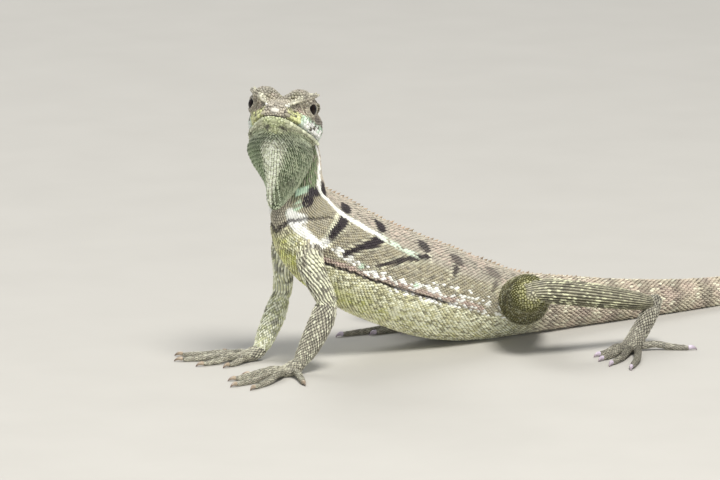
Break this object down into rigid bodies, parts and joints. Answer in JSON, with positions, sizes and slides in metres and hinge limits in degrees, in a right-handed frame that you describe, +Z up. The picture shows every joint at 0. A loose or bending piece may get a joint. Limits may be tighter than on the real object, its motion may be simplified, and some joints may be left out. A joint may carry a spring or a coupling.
{
  "type": "basilisk lizard",
  "caption": "Still life-size basilisk lizard, sitting alert with raised turned head, hanging throat pouch, low back crest, long toes and a long tail laid on the floor.",
  "frame": {"origin": "on the floor, under the middle of the animal's bounding box", "axes": "+Z up, +X from the head towards the tail tip, -Y the animal's left"},
  "size_m": [0.469, 0.1116, 0.0933],
  "materials": {
    "skin": "finely scaled hide, olive brown with dark bars, a pale stripe and a yellow-green flank",
    "eye": "wet gloss, dark brown iris round a black pupil",
    "claw": "smooth pale horn"
  },
  "bodies": {
    "root": {"head": "skin", "lower_jaw": "skin", "throat_pouch": "skin", "neck": "skin", "torso": "skin", "tail_1": "skin", "tail_2": "skin", "tail_3": "skin", "tail_4": "skin", "tail_5": "skin", "eye_left": "eye", "upper_arm_left": "skin", "forearm_left": "skin", "hand_left": "skin", "thigh_left": "skin", "shin_left": "skin", "foot_left": "skin", "claw_hand_left_1": "claw", "claw_hand_left_2": "claw", "claw_hand_left_3": "claw", "claw_hand_left_4": "claw", "claw_hand_left_5": "claw", "claw_foot_left_1": "claw", "claw_foot_left_2": "claw", "claw_foot_left_3": "claw", "claw_foot_left_4": "claw", "claw_foot_left_5": "claw", "eye_right": "eye", "upper_arm_right": "skin", "forearm_right": "skin", "hand_right": "skin", "thigh_right": "skin", "shin_right": "skin", "foot_right": "skin", "claw_hand_right_1": "claw", "claw_hand_right_2": "claw", "claw_hand_right_3": "claw", "claw_hand_right_4": "claw", "claw_hand_right_5": "claw", "claw_foot_right_1": "claw", "claw_foot_right_2": "claw", "claw_foot_right_3": "claw", "claw_foot_right_4": "claw", "claw_foot_right_5": "claw"}
  },
  "joints": []
}
